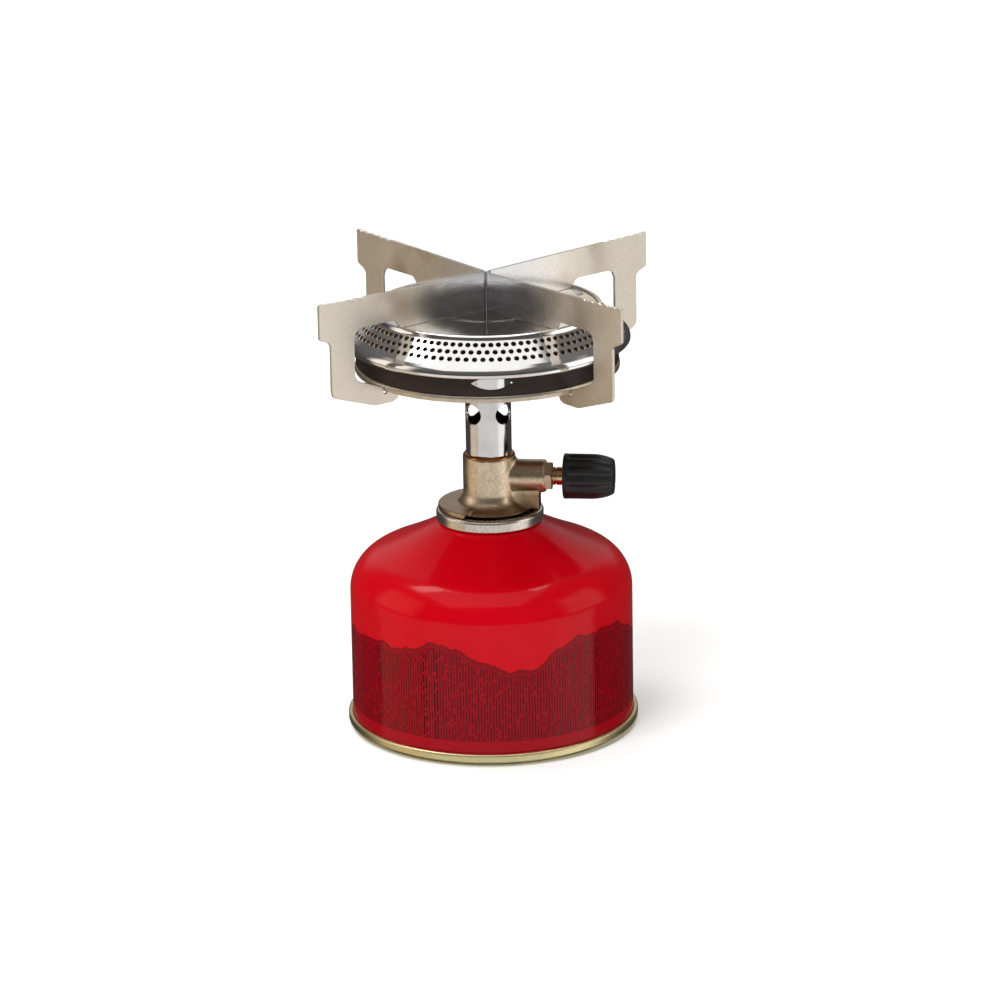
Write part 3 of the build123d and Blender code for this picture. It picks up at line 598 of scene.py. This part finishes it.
def make_bottom():
    """The seam, folded round the foot of the can, and the concave bottom inside it."""
    rim = top("canister_base")
    slot_out = 43.64
    slot_in = 43.06
    slot_z = 0.9
    dome_r = 42.3
    dome_foot_z = 5.3
    dome_peak_z = 9.9
    leaf_r = 41.78
    leaf_z = 4.7
    leaf_peak_z = 9.3
    bm = bmesh.new()
    line = rounded([
        (rim.x, 0.0, 0.75),
        (rim.x, RIM_HEIGHT, 0.8),
        (slot_out, RIM_HEIGHT, 0.3),
        (slot_out, slot_z, 0.1),
        (slot_in, slot_z, 0.1),
        (slot_in, dome_foot_z, 0.5),
        (dome_r, dome_foot_z, 0.5),
    ], 5)
    dome = tangent_arc((0.0, dome_peak_z), (1, 0), (dome_r, dome_foot_z), 20)
    under = tangent_arc((0.0, leaf_peak_z), (1, 0), (leaf_r, leaf_z), 20)
    foot = rounded([(leaf_r, leaf_z, 0), (leaf_r, 0.0, 0.55), (rim.x, 0.0, 0)], 5, closed=False)
    lathe(bm, line[:-1] + dome[::-1] + under[:-1] + foot[:-1], CAN_STEPS)
    piece("seam_and_bottom", bm, "cartridge", SEAM, ["canister_base"])


def make_cup():
    """The crimped cup with its rolled edge and, in the middle, the threaded collar."""
    cup = top("valve_cup")
    wall_r = cup.x - 2 * CUP_ROLL
    lip_z = cup.z - 0.7
    foot_z = 65.0
    floor_z = 60.8
    collar_z = 62.4
    line = rounded([
        (cup.x - 1.2, foot_z, 0),
        (cup.x - 0.1, foot_z, 0.7),
        (cup.x, lip_z - 0.1, 1.3),
        (wall_r, lip_z, 0.7),
        (wall_r, lip_z - 1.2, 0),
    ], 10, closed=False)
    line += rounded([
        (wall_r, lip_z - CUP_ROLL, 0),
        (wall_r, floor_z, 1.0),
        (THREAD_ROOT_R, floor_z, 0.6),
        (THREAD_ROOT_R, 62.0, 0),
    ], 5, closed=False)
    line += [
        (THREAD_ROOT_R, collar_z),
        (COLLAR_BORE_R, collar_z),
        (COLLAR_BORE_R, CUP_FLOOR_Z),
        (wall_r + 0.6, CUP_FLOOR_Z),
        (wall_r + 0.6, foot_z),
    ]
    bm = bmesh.new()
    lathe(bm, line, CAN_STEPS)
    thread_collar(bm, collar_z, cup.z)
    piece("valve_cup_crimped", bm, "cartridge", CUP, ["valve_cup"], weld=False)


def thread_collar(bm, bottom, ceiling):
    """The collar of the cup with its rolled 28-per-inch outside thread."""
    rows_per_turn = 8
    rows = int((ceiling - 0.5 - bottom) / THREAD_PITCH * rows_per_turn)
    grid = []
    for row in range(rows + 1):
        height = bottom + row * THREAD_PITCH / rows_per_turn
        ring = []
        for k in range(COLLAR_STEPS):
            phase = (row / rows_per_turn - k / COLLAR_STEPS) % 1.0
            fade = min(1.0, row / 6, (rows - row) / 6)
            wave = 0.5 + 0.5 * math.cos(TURN * phase)
            reach = THREAD_ROOT_R + THREAD_DEPTH * fade * wave
            ring.append(vert_on_turn(bm, reach, TURN * k / COLLAR_STEPS, height))
        grid.append(ring)
    ends = ((5.0, ceiling - 0.15), (4.85, ceiling), (COLLAR_BORE_R, ceiling), (COLLAR_BORE_R, bottom))
    for radius, height in ends:
        grid.append([vert_on_turn(bm, radius, TURN * k / COLLAR_STEPS, height) for k in range(COLLAR_STEPS)])
    skin(bm, grid + grid[:1])


# ------------------------------------------------------------------ valve block

def make_block():
    """The casting, with its edges melted into a sandy skin, and the turned pieces in it."""
    mesh = NODES["valve_body"].data.copy()
    mesh.name = "valve_block_cast"
    made = bpy.data.objects.new("valve_block_cast", mesh)
    bpy.context.scene.collection.objects.link(made)
    mesh.materials.clear()
    mesh.materials.append(CAST)
    bm = bmesh.new()
    bm.from_mesh(mesh)
    bmesh.ops.remove_doubles(bm, verts=bm.verts, dist=WELD)
    bm.to_mesh(mesh)
    bm.free()
    grid = made.modifiers.new("skin", "REMESH")
    grid.mode = "VOXEL"
    grid.voxel_size = CAST_GRAIN * MM
    grid.use_smooth_shade = True
    relax = made.modifiers.new("relax", "SMOOTH")
    relax.factor = 0.5
    relax.iterations = 7
    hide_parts("valve_body")
    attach(made, "stove")

    softened("gland_nut", "gland_nut_hex", 0.22, "stove", NUT, parts=3)
    softened("jet", "jet_turned", 0.08, "stove", BRASS)
    softened("inlet_nipple", "inlet_nipple_turned", 0.08, "stove", BRASS)


def make_braze():
    """The run-out fillet of brazing metal round the foot of the tube."""
    foot = low("brazing_ring").z
    peak = top("brazing_ring").z
    outer = top("brazing_ring").x
    inner = TUBE_SEAT_R
    bm = bmesh.new()
    rings = []
    for k in range(BRAZE_STEPS):
        angle = TURN * k / BRAZE_STEPS
        swell = 0.5 + 0.26 * math.sin(3 * angle + 0.4) + 0.16 * math.sin(7 * angle + 1.9)
        swell += 0.06 * math.sin(15 * angle)
        rise = foot + (peak - foot) * (0.62 + 0.38 * swell)
        out = outer - 0.14 * (1 - swell)
        line = [
            (inner, foot),
            (out - 0.04, foot),
            (out, foot + 0.12),
            (out - 0.22, foot + 0.42 * (rise - foot)),
            (inner + 0.42, foot + 0.74 * (rise - foot)),
            (inner + 0.14, foot + 0.94 * (rise - foot)),
            (inner, rise),
        ]
        rings.append([vert_on_turn(bm, radius, angle, height) for radius, height in line])
    skin(bm, rings + rings[:1])
    piece("braze_fillet", bm, "stove", BRAZE, ["brazing_ring"], crease=60)


def make_spindle():
    """The turned spindle, from its needle to the hole for the knob's screw."""
    middle = (low("spindle").z + top("spindle").z) / 2
    nut_end = top("gland_nut").x
    knob_x = low("knob").x
    tail_end = top("spindle").x
    needle = [(0.0, 1.1, 0), (0.3, 1.1, 0.0), (0.95, 3.3, 0.0), (0.95, 4.6, 0.0), (1.6, 4.6, 0.1)]
    thread = [(1.6, 7.0, 0.0), (2.4, 7.0, 0.3), (2.4, 13.4, 0.2)]
    seal_groove = [(1.42, 13.4, 0.1), (1.42, 15.4, 0.1), (2.04, 15.4, 0.1)]
    collar = [
        (2.04, nut_end + 0.35, 0.05),
        (2.8, nut_end + 0.35, 0.22),
        (2.8, nut_end + 0.95, 0.12),
        (2.5, nut_end + 1.1, 0.08),
        (2.5, nut_end + 1.35, 0.08),
        (2.8, nut_end + 1.5, 0.12),
        (2.8, knob_x + 1.2, 0.1),
    ]
    tail = [(1.9, knob_x + 1.2, 0.05), (1.9, tail_end, 0.2)]
    screw_hole = [(0.95, tail_end, 0.1), (0.95, tail_end - 5.0, 0.0), (0.0, tail_end - 5.0, 0)]
    line = rounded(needle + thread + seal_groove + collar + tail + screw_hole, 3)
    bm = bmesh.new()
    lathe(bm, line, SPINDLE_STEPS, closed=False, axis="X", centre=middle)
    piece("spindle_turned", bm, "flame_control", BRASS, ["spindle"])


def make_knob():
    """Fluted knob, swelling towards the valve and rounded at its end."""
    start = low("knob").x
    end = top("knob").x
    outer = top("knob").z - SPINDLE_Z
    nose = KNOB_NOSE_R
    per_flute = 20
    steps = KNOB_FLUTES * per_flute
    line = [(start, 2.83), (start, outer - 1.0)]
    edge = ((0.03, 0.45), (0.13, 0.2), (0.3, 0.06))
    line += [(start + along, outer - inwards) for along, inwards in edge]
    line += [(start + along, outer) for along in (0.5, 1.0, 1.4, 1.8, 2.3, 3.0, 4.8, 6.6)]
    line += tangent_arc((start + 8.6, outer), (1, 0), (end - 0.7, nose), 14)
    line += [(end - 0.4, nose - 0.18), (end - 0.16, nose - 0.5)]
    line += [(end - 0.03, nose - 0.95), (end, nose - 1.4)]
    line += [(end, 3.3), (end, 2.85), (end - 0.08, 2.68), (end - 0.3, 2.6), (end - 2.8, 2.6)]
    line += [(end - 3.2, 2.5), (end - 3.2, 1.05), (start + 9.6, 1.05), (start + 9.6, 1.93)]
    line += [(start + 1.22, 1.93), (start + 1.22, 2.83)]
    bm = bmesh.new()
    rings = []
    for x, radius in line:
        ring = []
        run_in = min(1.0, max(0.0, (x - start - 1.1) / 1.4))
        run_in = run_in * run_in * (3 - 2 * run_in)
        fade = min(1.0, max(0.0, (radius - 3.4) / 1.6))
        for k in range(steps):
            angle = TURN * k / steps
            phase = (k / per_flute) % 1.0 - 0.5
            groove = max(0.0, 1 - (abs(phase) / 0.34) ** 2)
            cut = 0.46 * groove ** 0.8 * run_in * fade
            reach = radius - cut
            height = SPINDLE_Z + reach * math.cos(angle)
            ring.append(bm.verts.new((x * MM, reach * math.sin(angle) * MM, height * MM)))
        rings.append(ring)
    skin(bm, rings + rings[:1])
    piece("knob_fluted", bm, "flame_control", KNOB, ["knob"], crease=48)
    softened("knob_screw", "knob_screw_cross", 0.06, "flame_control", SCREW)


# ------------------------------------------------------------------ burner tube

def make_tube():
    """The mixing tube: a band with the four air holes, and plain ends."""
    bore = TUBE_R - TUBE_SHEET
    foot = low("burner_tube").z
    head = top("burner_tube").z
    band_half = 4.2
    bottom = AIR_HOLE_Z - band_half
    ceiling = AIR_HOLE_Z + band_half
    corner = 0.2
    per_side = 20
    bm = bmesh.new()
    for turn in range(4):
        middle = math.radians(AIR_HOLE_TURN + 90 * turn)

        def hole(spot, growth):
            reach = AIR_HOLE_R + growth
            return middle + math.asin(reach * spot[0] / TUBE_R), AIR_HOLE_Z + reach * spot[1]

        cell = (middle - math.pi / 4, middle + math.pi / 4, bottom, ceiling)
        pierced_cell(bm, round_wall(TUBE_R), cell, hole, TUBE_SHEET, per_side, rings=5, chamfer=0.07)
    ends = bmesh.new()
    for edge, end, inwards in ((bottom, foot, corner), (ceiling, head, -corner)):
        line = [(TUBE_R, edge), (TUBE_R, end + inwards), (TUBE_R - corner, end), (bore, end), (bore, edge)]
        lathe(ends, line, 4 * per_side, closed=False)
    # turned until the vertices of the ends meet those of the band
    spin = Matrix.Rotation(math.radians(AIR_HOLE_TURN + 45), 3, "Z")
    bmesh.ops.rotate(ends, verts=ends.verts, cent=(0, 0, 0), matrix=spin)
    rest = bpy.data.meshes.new("tube_ends")
    ends.to_mesh(rest)
    ends.free()
    bm.from_mesh(rest)
    bpy.data.meshes.remove(rest)
    bmesh.ops.remove_doubles(bm, verts=bm.verts, dist=20 * WELD)
    piece("mixing_tube", bm, "stove", TUBE, ["burner_tube"])


# ------------------------------------------------------------------ burner head

def make_plate():
    """The pressed ring with its turned-down lip."""
    edge = top("base_plate").x
    head = top("base_plate").z
    lip = low("base_plate").z
    line = rounded([
        (PLATE_HOLE_R, head, 0.1),
        (edge, head, 1.1),
        (edge, lip, 0.35),
        (edge - PLATE_SHEET, lip, 0.15),
        (edge - PLATE_SHEET, head - PLATE_SHEET, 0.3),
        (PLATE_HOLE_R, head - PLATE_SHEET, 0.1),
    ], 6)
    bm = bmesh.new()
    lathe(bm, line, CAN_STEPS)
    piece("plate_pressed", bm, "stove", PLATE, ["base_plate"])


def make_skirt():
    """The dark wall with its four lens-shaped air windows."""
    foot = low("skirt").z
    head = top("skirt").z
    per_side = 24
    columns = 48
    surface = round_wall(SKIRT_R)
    bm = bmesh.new()
    lens_r = (WINDOW_HALF * WINDOW_HALF + WINDOW_RISE * WINDOW_RISE) / (2 * WINDOW_RISE)
    cell_half = math.radians(14)
    plain = math.pi / 2 - 2 * cell_half

    def patch(*corners):
        bm.faces.new([bm.verts.new(surface(*corner)) for corner in corners])

    def strips(start, width, count):
        for k in range(count):
            yield start + width * k / count, start + width * (k + 1) / count

    for turn in range(4):
        middle = math.radians(WINDOW_TURN + 90 * turn)

        def hole(spot, growth):
            across = WINDOW_HALF * spot[0]
            high = math.sqrt(max(0.0, lens_r * lens_r - across * across)) - (lens_r - WINDOW_RISE)
            high = max(0.0, high) * (1 if spot[1] >= 0 else -1)
            if abs(abs(spot[0]) - 1.0) < TINY:
                high = 0.0
            turned = math.asin(across * (1 + growth / WINDOW_HALF) / SKIRT_R)
            return middle + turned, WINDOW_Z + high * (1 + growth / WINDOW_RISE)

        cell = (middle - cell_half, middle + cell_half, foot, head)
        pierced_cell(bm, surface, cell, hole, SKIRT_SHEET, per_side, rings=4, chamfer=0.08)
        columns_here = list(strips(middle + cell_half, plain, columns))
        for a, b in columns_here:
            for depth in (0.0, SKIRT_SHEET):
                for c, d in strips(foot, head - foot, per_side):
                    patch((a, c, depth), (b, c, depth), (b, d, depth), (a, d, depth))
        for v in (foot, head):
            for a, b in columns_here + list(strips(middle - cell_half, 2 * cell_half, per_side)):
                patch((a, v, 0.0), (b, v, 0.0), (b, v, SKIRT_SHEET), (a, v, SKIRT_SHEET))
    piece("skirt_windows", bm, "stove", SKIRT, ["skirt"])


def make_cap():
    """Pressed cap: dished middle, bead, pierced slope, crease and rolled rim."""
    per_side = 4
    steps = PORTS * per_side
    lip_z = low("burner_cap").z
    run = Vector(CREASE) - Vector(SLOPE_TOP)
    length = run.length
    along = run.normalized()
    out = Vector((-along.y, along.x))

    def spot(v, depth):
        return Vector(SLOPE_TOP) + along * v - out * depth

    def surface(u, v, depth):
        place = spot(v, depth)
        return (place.x * math.cos(u) * MM, place.x * math.sin(u) * MM, place.y * MM)

    bm = bmesh.new()
    first = 0.35
    last = length - 1.0
    centres = [length * share for share in PORT_ROWS]
    edges = [first, (centres[0] + centres[1]) / 2, (centres[1] + centres[2]) / 2, last]
    pitch = TURN / PORTS
    for row, centre in enumerate(centres):
        for index in range(PORTS):
            middle = pitch * (index + 0.5 * (row % 2))

            def hole(place, growth):
                v = centre + (PORT_R + growth) * place[1]
                return middle + (PORT_R + growth) * place[0] / spot(v, 0.0).x, v

            cell = (middle - pitch / 2, middle + pitch / 2, edges[row], edges[row + 1])
            pierced_cell(bm, surface, cell, hole, CAP_SHEET, per_side, rings=1, chamfer=0.09)
    bmesh.ops.remove_doubles(bm, verts=bm.verts, dist=2 * WELD)

    bead = arc((BEAD_R - 0.02, CAP_TOP_Z), 0.83, 172, 12, 12)
    dish_z = CAP_TOP_Z - DISH_DEPTH
    upper = [(0.0, dish_z), (6.0, dish_z)]
    upper += rounded([
        (11.0, dish_z, 0), (DISH_INNER_R, dish_z, 4.0), (DISH_OUTER_R, CAP_TOP_Z, 4.0), (20.0, CAP_TOP_Z, 0)
    ], 6, closed=False)
    upper += [(30.0, CAP_TOP_Z), (BEAD_R - 1.7, CAP_TOP_Z), (BEAD_R - 1.1, CAP_TOP_Z + 0.02)] + bead
    upper += [(SLOPE_TOP[0] - 0.15, CAP_TOP_Z - 0.2), (SLOPE_TOP[0] - 0.08, SLOPE_TOP[1] + 0.2)]
    start = spot(first, 0.0)
    upper += [SLOPE_TOP, tuple(start)]
    under_start = spot(first, CAP_SHEET)
    inside = [(0.0, dish_z - CAP_SHEET), (DISH_INNER_R - 0.05, dish_z - CAP_SHEET)]
    inside += [(DISH_OUTER_R - 0.05, CAP_TOP_Z - CAP_SHEET), (BEAD_R - 1.2, CAP_TOP_Z - CAP_SHEET)]
    inside += [(BEAD_R, CAP_TOP_Z - 0.1), (SLOPE_TOP[0] - 0.4, SLOPE_TOP[1] - 0.3), tuple(under_start)]
    stop = spot(last, 0.0)
    roll_middle = (CAP_R - CAP_ROLL_R, CAP_RIM_Z)
    flank = arc(roll_middle, CAP_ROLL_R, CAP_ROLL_TURN, 0, 1)[0]
    lower = [tuple(stop)]
    lower += rounded([
        (stop.x, stop.y, 0), (CREASE[0], CREASE[1], 0.3), (flank[0], flank[1], 0)
    ], 4, closed=False)[1:-1]
    lower += arc(roll_middle, CAP_ROLL_R, CAP_ROLL_TURN, 0, 12)
    lower += arc((CAP_R - 0.75, CAP_RIM_Z), 0.75, 0, -90, 8)[1:]
    lower += [(CAP_R - 1.1, lip_z + 0.2), (CAP_R - 0.55, CAP_RIM_Z + 0.05), (CAP_R - 0.7, CAP_RIM_Z + 1.05)]
    lower += [(CAP_R - 1.2, CAP_RIM_Z + 1.85), (CREASE[0] - 0.4, CREASE[1] - 0.3)]
    lower += [tuple(spot(last, CAP_SHEET))]
    for line in (upper, inside, lower):
        lathe(bm, line, steps, closed=False)
    bmesh.ops.remove_doubles(bm, verts=bm.verts, dist=2 * WELD)
    made = piece("burner_cap_pierced", bm, "stove", CAP, ["burner_cap"])
    made.data.materials.append(PORT)
    for face in made.data.polygons:
        c = face.center / MM
        place = Vector((math.hypot(c.x, c.y), c.z)) - spot(0.0, 0.0)
        on_slope = first - 0.01 < place.dot(along) < last + 0.01
        if on_slope and place.dot(out) < -0.03:
            face.material_index = 1


def make_supports():
    """The two bent sheets that carry the pan."""
    for side in ("right", "left"):
        made = "pan_support_sheet_" + side
        softened("pan_support_" + side, made, 0.13, "stove", SUPPORT)


def carry_over():
    """CAD nodes that keep their own shape and get their materials."""
    kept = {
        "cup_gasket": RUBBER,
        "valve_housing": PLASTIC,
        "stem_gasket": RUBBER,
        "valve_spring": SPRING,
        "valve_stem": PLASTIC,
        "inlet_seal": RUBBER,
        "inlet_filter": BRASS,
        "spindle_seal": RUBBER,
        "burner_pan": PAN,
    }
    for name, material in kept.items():
        node = NODES[name]
        node.data.materials.clear()
        node.data.materials.append(material)
        node.data.shade_smooth()
        node.data.set_sharp_from_angle(angle=math.radians(32))


make_can()
make_bottom()
make_cup()
make_block()
make_braze()
make_spindle()
make_knob()
make_tube()
make_plate()
make_skirt()
make_cap()
make_supports()
carry_over()


# ------------------------------------------------------------------------ stage

def make_floor():
    """A plain pale floor just under the part."""
    bm = bmesh.new()
    lathe(bm, [(0.0, -0.05), (400.0, -0.05), (6000.0, -0.05)], FLOOR_STEPS, closed=False)
    mesh = bpy.data.meshes.new("floor")
    bm.to_mesh(mesh)
    bm.free()
    floor = bpy.data.objects.new("floor", mesh)
    bpy.context.scene.collection.objects.link(floor)
    s = Shader("floor_white", Roughness=0.9, Specular_IOR_Level=0.1)
    s.to("Base Color", s.mix(s.span(s.noise(2.0), 0.3, 0.7), (0.90, 0.90, 0.90), (0.91, 0.91, 0.91)))
    mesh.materials.append(s.material)
    floor.visible_glossy = False


def make_world():
    """A studio as a plain function of direction: soft box overhead, pale table, dark far walls."""
    world = bpy.data.worlds.new("studio")
    bpy.context.scene.world = world
    world.use_nodes = True
    world.node_tree.nodes.clear()
    w = Nodes(world.node_tree)

    def both(a, b):
        return w.math("MULTIPLY", a, b)

    def rise(value, start, end):
        return w.span(value, start, end, smooth=True)

    def fall(value, start, end):
        return w.span(value, start, end, 1.0, 0.0, smooth=True)

    def between(value, opening, closing):
        """1 between two soft edges and 0 outside them."""
        return both(rise(value, *opening), fall(value, *closing))

    direction = w.add("ShaderNodeTexCoord").outputs["Generated"]
    turned = w.add(
        "ShaderNodeVectorRotate", {"Vector": direction, "Angle": math.radians(-CAMERA_TURN)},
        rotation_type="Z_AXIS",
    )
    x, y, z = w.add("ShaderNodeSeparateXYZ", {"Vector": turned.outputs[0]}).outputs
    # side is the angle from the front, positive to the right; px and py lie on a plane overhead
    side = w.math("DEGREES", w.math("ARCTAN2", x, w.math("MULTIPLY", y, -1.0)))
    high = w.math("MAXIMUM", z, 0.05)
    px = w.math("DIVIDE", x, high)
    py = w.math("DIVIDE", y, high)
    above = rise(z, 0.1, 0.3)
    front_box = both(between(px, (-0.9, -0.7), (0.42, 0.56)), between(py, (-1.05, -0.85), (0.0, 0.12)))
    main_box = both(between(px, (-0.85, -0.65), (0.34, 0.46)), between(py, (0.0, 0.1), (0.28, 0.38)))
    below = fall(z, -0.10, -0.02)
    table = both(between(side, (-64, -52), (84, 94)), below)
    tan = both(between(side, (-108, -98), (-64, -52)), below)
    low_band = between(z, (-0.02, 0.06), (0.5, 0.72))
    right = both(between(side, (56, 70), (96, 108)), low_band)
    left = both(between(side, (-112, -100), (-72, -58)), low_band)
    back = both(rise(w.math("ABSOLUTE", side), 138, 158), rise(z, 0.1, 0.28))
    colour = w.mix(rise(z, -0.2, 0.9), (0.060, 0.055, 0.052), (0.17, 0.165, 0.16))
    for share, shown in (
        (back, (0.54, 0.54, 0.55)),
        (right, (1.35, 1.30, 1.24)),
        (left, (1.15, 1.05, 0.92)),
        (table, (0.80, 0.79, 0.77)),
        (both(table, rise(side, 40, 60)), (1.15, 1.12, 1.08)),
        (tan, (0.74, 0.61, 0.46)),
        (both(front_box, above), (1.15, 1.15, 1.15)),
        (both(main_box, above), (7.0, 7.0, 7.0)),
    ):
        colour = w.mix(share, colour, shown)
    studio = w.add("ShaderNodeBackground", {"Color": colour, "Strength": 1.0})
    pale = w.add("ShaderNodeBackground", {"Color": (1.0, 1.0, 1.0, 1.0), "Strength": 1.0})
    seen = w.add("ShaderNodeLightPath").outputs["Is Camera Ray"]
    blend = w.add("ShaderNodeMixShader", {0: seen, 1: studio.outputs[0], 2: pale.outputs[0]})
    output = w.add("ShaderNodeOutputWorld", {"Surface": blend.outputs[0]})
    output.is_active_output = True


def soft_light(name, place, size, watts):
    """A square soft light aimed at the part, left out of its reflections."""
    data = bpy.data.lights.new(name, "AREA")
    data.shape = "RECTANGLE"
    data.size = size
    data.size_y = size
    data.energy = watts
    lamp = bpy.data.objects.new(name, data)
    lamp.location = place
    lamp.rotation_mode = "QUATERNION"
    lamp.rotation_quaternion = (Vector((0, 0, 0.09)) - Vector(place)).to_track_quat("-Z", "Y")
    lamp.visible_glossy = False
    lamp.visible_camera = False
    bpy.context.scene.collection.objects.link(lamp)


def make_camera():
    """The camera at the height and angle from which the whole part is seen."""
    data = bpy.data.cameras.new("camera")
    data.lens = CAMERA_LENS
    data.sensor_width = 36.0
    data.clip_start = 0.05
    data.clip_end = 50.0
    camera = bpy.data.objects.new("camera", data)
    bpy.context.scene.collection.objects.link(camera)
    pitch = math.radians(CAMERA_PITCH)
    yaw = math.radians(CAMERA_YAW)
    roll = math.radians(CAMERA_ROLL)
    forward = Vector((math.sin(yaw) * math.cos(pitch), math.cos(yaw) * math.cos(pitch), -math.sin(pitch)))
    right = Vector((math.cos(yaw), -math.sin(yaw), 0.0))
    up = right.cross(forward)
    across = right * math.cos(roll) + up * math.sin(roll)
    upright = up * math.cos(roll) - right * math.sin(roll)
    axes = Matrix((across, upright, -forward)).transposed().to_4x4()
    camera.matrix_world = (
        Matrix.Rotation(math.radians(CAMERA_TURN), 4, "Z")
        @ Matrix.Translation((0.0, -CAMERA_AWAY, CAMERA_HIGH))
        @ axes
    )
    bpy.context.scene.camera = camera


make_camera()
make_floor()
make_world()
soft_light("key", (-0.5, -0.9, 1.3), 0.9, 17)
soft_light("fill", (0.9, -1.0, 0.5), 0.8, 3)
bpy.context.scene.view_settings.view_transform = "Standard"
bpy.context.scene.view_settings.look = "None"
